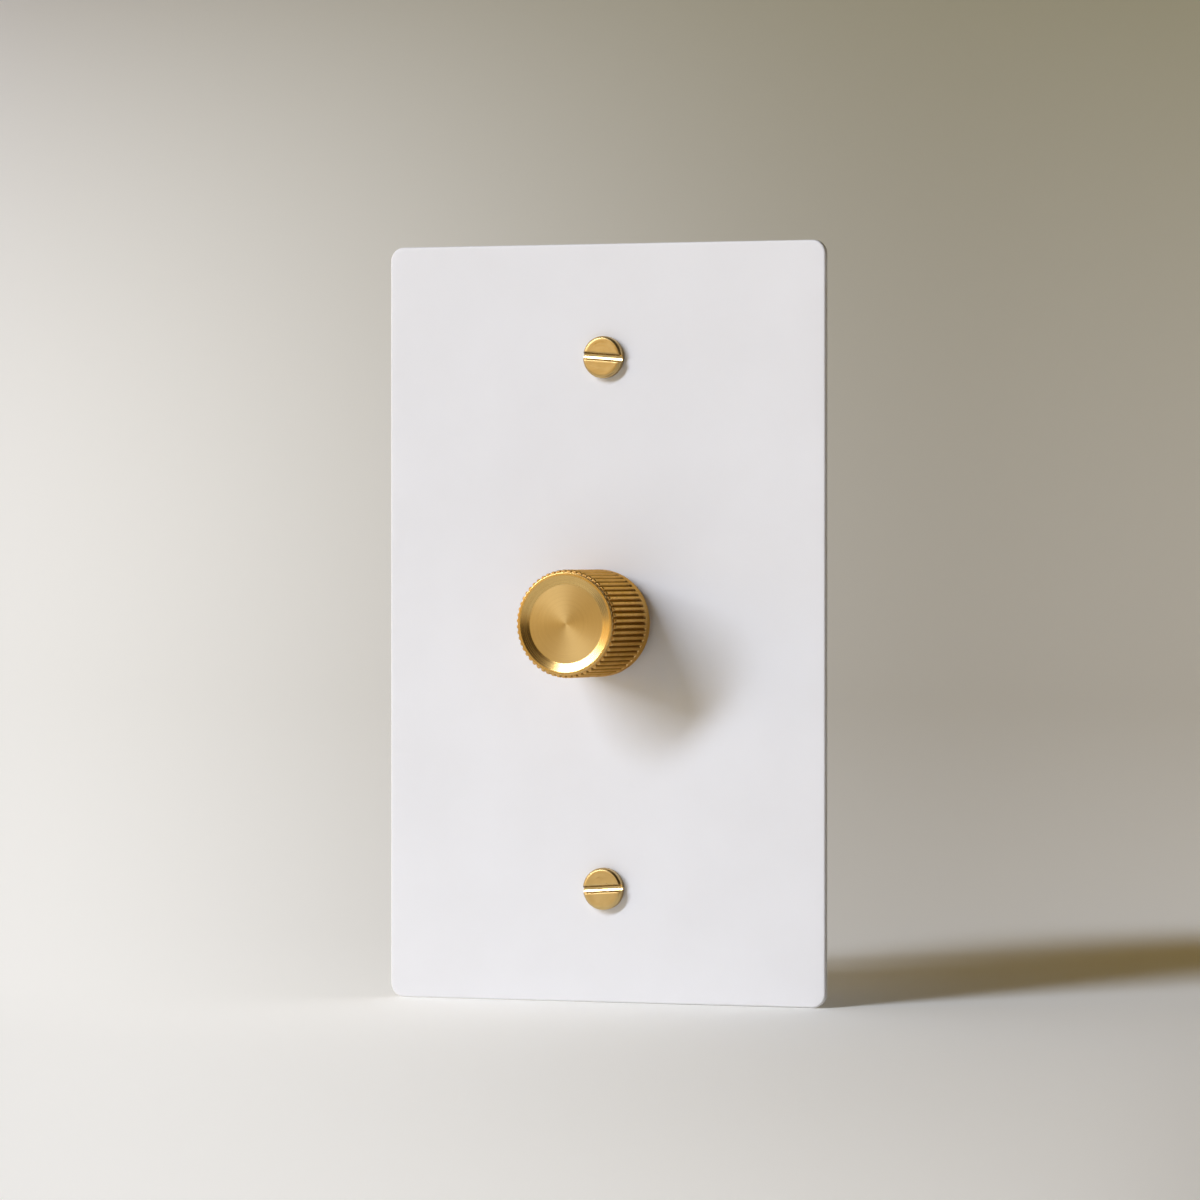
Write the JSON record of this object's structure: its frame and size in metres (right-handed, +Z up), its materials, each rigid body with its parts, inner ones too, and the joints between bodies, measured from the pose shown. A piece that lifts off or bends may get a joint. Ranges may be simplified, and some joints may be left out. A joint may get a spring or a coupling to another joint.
{
  "type": "rotary dimmer switch",
  "caption": "Flat portrait wall plate with a fluted round knob that turns to dim and pushes to switch, slotted fixing screws, and a boxed module behind it.",
  "frame": {"origin": "on the shaft's axis in the wall plane, which is the gasket's back face", "axes": "+X right for someone facing the plate, +Z up along the plate's long side, +Y into the wall"},
  "size_m": [0.074, 0.0466, 0.119],
  "materials": {
    "coated_plate": "matte white powder coat on steel sheet",
    "turned_brass": "satin brass, turned",
    "plain_brass": "bright brass",
    "gasket_rubber": "closed cell rubber",
    "nylon": "natural nylon",
    "strap_metal": "mill finish sheet",
    "earth_green": "green plated steel",
    "plated_steel": "bright plated steel",
    "spring_steel": "dark spring steel",
    "laminate": "brown paper laminate",
    "carbon": "printed carbon",
    "tinned_wire": "tinned wire",
    "dark_moulding": "fine matte moulding",
    "board_green": "green solder mask",
    "pad_rubber": "grey heat pad",
    "ferrite": "dark ferrite",
    "copper_wire": "enamelled copper wire",
    "yellow_moulding": "gloss film capacitor box",
    "red_moulding": "gloss film capacitor box",
    "tan_lacquer": "lacquered body with tinned leads",
    "blue_lacquer": "lacquered body with tinned leads"
  },
  "bodies": {
    "base": {"face_plate": "coated_plate", "wall_gasket": "gasket_rubber", "plate_screws": "turned_brass", "screw_retainers": "nylon", "mounting_strap": "strap_metal", "earth_screw": "earth_green", "threaded_neck": "plain_brass", "neck_washer": "plated_steel", "neck_nut": "plated_steel", "control_case": "plated_steel", "control_wafer": "laminate", "resistance_track": "carbon", "control_pins": "tinned_wire", "switch_case": "dark_moulding", "switch_spring": "spring_steel", "circuit_board": "board_green", "device_pad": "pad_rubber", "power_device": "dark_moulding", "device_screw": "plated_steel", "choke_core": "ferrite", "choke_winding": "copper_wire", "filter_capacitor": "yellow_moulding", "timing_capacitor": "red_moulding", "resistor": "tan_lacquer", "trigger_diode": "blue_lacquer", "housing": "dark_moulding", "housing_screws": "plated_steel", "terminal_plates": "plain_brass", "terminal_screws": "plain_brass"},
    "rotor": {"wiper_hub": "nylon", "wiper_contact": "plain_brass"},
    "spindle": {"shaft": "plated_steel", "shaft_clip": "spring_steel", "knob": "turned_brass", "knob_set_screw": "spring_steel"},
    "plunger": {"switch_plunger": "nylon"}
  },
  "joints": [
    {"name": "knob_turn", "type": "hinge", "parent": "base", "child": "rotor", "pos_m": [0, 0, 0], "axis": [0, 1, 0], "range_deg": [-150, 150]},
    {"name": "knob_push", "type": "slide", "parent": "rotor", "child": "spindle", "axis": [0, 1, 0], "range_m": [0, 0.001], "stiffness_N_per_m": 2000, "springref_m": -0.0003},
    {"name": "plunger_push", "type": "slide", "parent": "base", "child": "plunger", "axis": [0, 1, 0], "range_m": [0, 0.001], "deforming": ["switch_spring"]}
  ],
  "couplings": [
    {"joint": "plunger_push", "follows": "knob_push", "ratio": 1}
  ]
}
